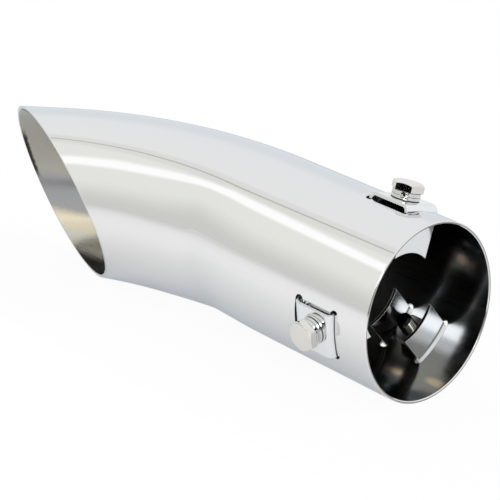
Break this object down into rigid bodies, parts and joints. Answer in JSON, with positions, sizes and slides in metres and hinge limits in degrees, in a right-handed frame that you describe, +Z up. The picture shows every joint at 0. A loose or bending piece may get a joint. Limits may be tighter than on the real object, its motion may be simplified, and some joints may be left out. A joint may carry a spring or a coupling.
{
  "type": "exhaust tip",
  "caption": "Curved slash-cut exhaust tip of polished tube, gripped on the tail pipe by screw-down clamp clips with hex bolts through slots in its wall.",
  "frame": {"origin": "on the inlet axis, in the plane of the clamp bolts, where the tail pipe is gripped", "axes": "+X along the length towards the inlet mouth, 2.22 degrees above the inlet axis; +Z up from the floor the tip lies on"},
  "size_m": [0.2152, 0.0714, 0.0712],
  "materials": {
    "polished_tube": "mirror polished outside, drawn finish inside",
    "clip_steel": "polished strip",
    "bolt_steel": "bright plated",
    "washer_steel": "bright plated",
    "nut_steel": "plain"
  },
  "bodies": {
    "tip": {"tail_tube": "polished_tube", "weld_nut_top": "nut_steel", "weld_nut_front": "nut_steel", "weld_nut_rear": "nut_steel"},
    "clip_top": {"clamp_clip_top": "clip_steel", "plain_washer_top": "washer_steel", "spring_washer_top": "washer_steel"},
    "bolt_top": {"hex_bolt_top": "bolt_steel"},
    "clip_front": {"clamp_clip_front": "clip_steel", "plain_washer_front": "washer_steel", "spring_washer_front": "washer_steel"},
    "bolt_front": {"hex_bolt_front": "bolt_steel"},
    "clip_rear": {"clamp_clip_rear": "clip_steel", "plain_washer_rear": "washer_steel", "spring_washer_rear": "washer_steel"},
    "bolt_rear": {"hex_bolt_rear": "bolt_steel"}
  },
  "joints": [
    {"name": "top_clip_slide", "type": "slide", "parent": "tip", "child": "clip_top", "axis": [0.038, 0.1942, 0.9802], "range_m": [0, 0.0085]},
    {"name": "top_bolt_turn", "type": "hinge", "parent": "clip_top", "child": "bolt_top", "pos_m": [0.00131, 0.00672, 0.03392], "axis": [0.038, 0.1942, 0.9802], "range_deg": [0, 3060]},
    {"name": "front_clip_slide", "type": "slide", "parent": "tip", "child": "clip_front", "axis": [-0.0086, -0.9751, -0.2214], "range_m": [0, 0.0085]},
    {"name": "front_bolt_turn", "type": "hinge", "parent": "clip_front", "child": "bolt_front", "pos_m": [-0.0003, -0.03374, -0.00766], "axis": [-0.0086, -0.9751, -0.2214], "range_deg": [0, 3060]},
    {"name": "rear_clip_slide", "type": "slide", "parent": "tip", "child": "clip_rear", "axis": [-0.0275, 0.7046, -0.709], "range_m": [-0.002, 0.0065]},
    {"name": "rear_bolt_turn", "type": "hinge", "parent": "clip_rear", "child": "bolt_rear", "pos_m": [-0.00095, 0.02438, -0.02453], "axis": [-0.0275, 0.7046, -0.709], "range_deg": [-720, 2340]}
  ],
  "couplings": [
    {"joint": "top_bolt_turn", "follows": "top_clip_slide", "rad_per_m": 6283.2},
    {"joint": "front_bolt_turn", "follows": "front_clip_slide", "rad_per_m": 6283.2},
    {"joint": "rear_bolt_turn", "follows": "rear_clip_slide", "rad_per_m": 6283.2}
  ]
}
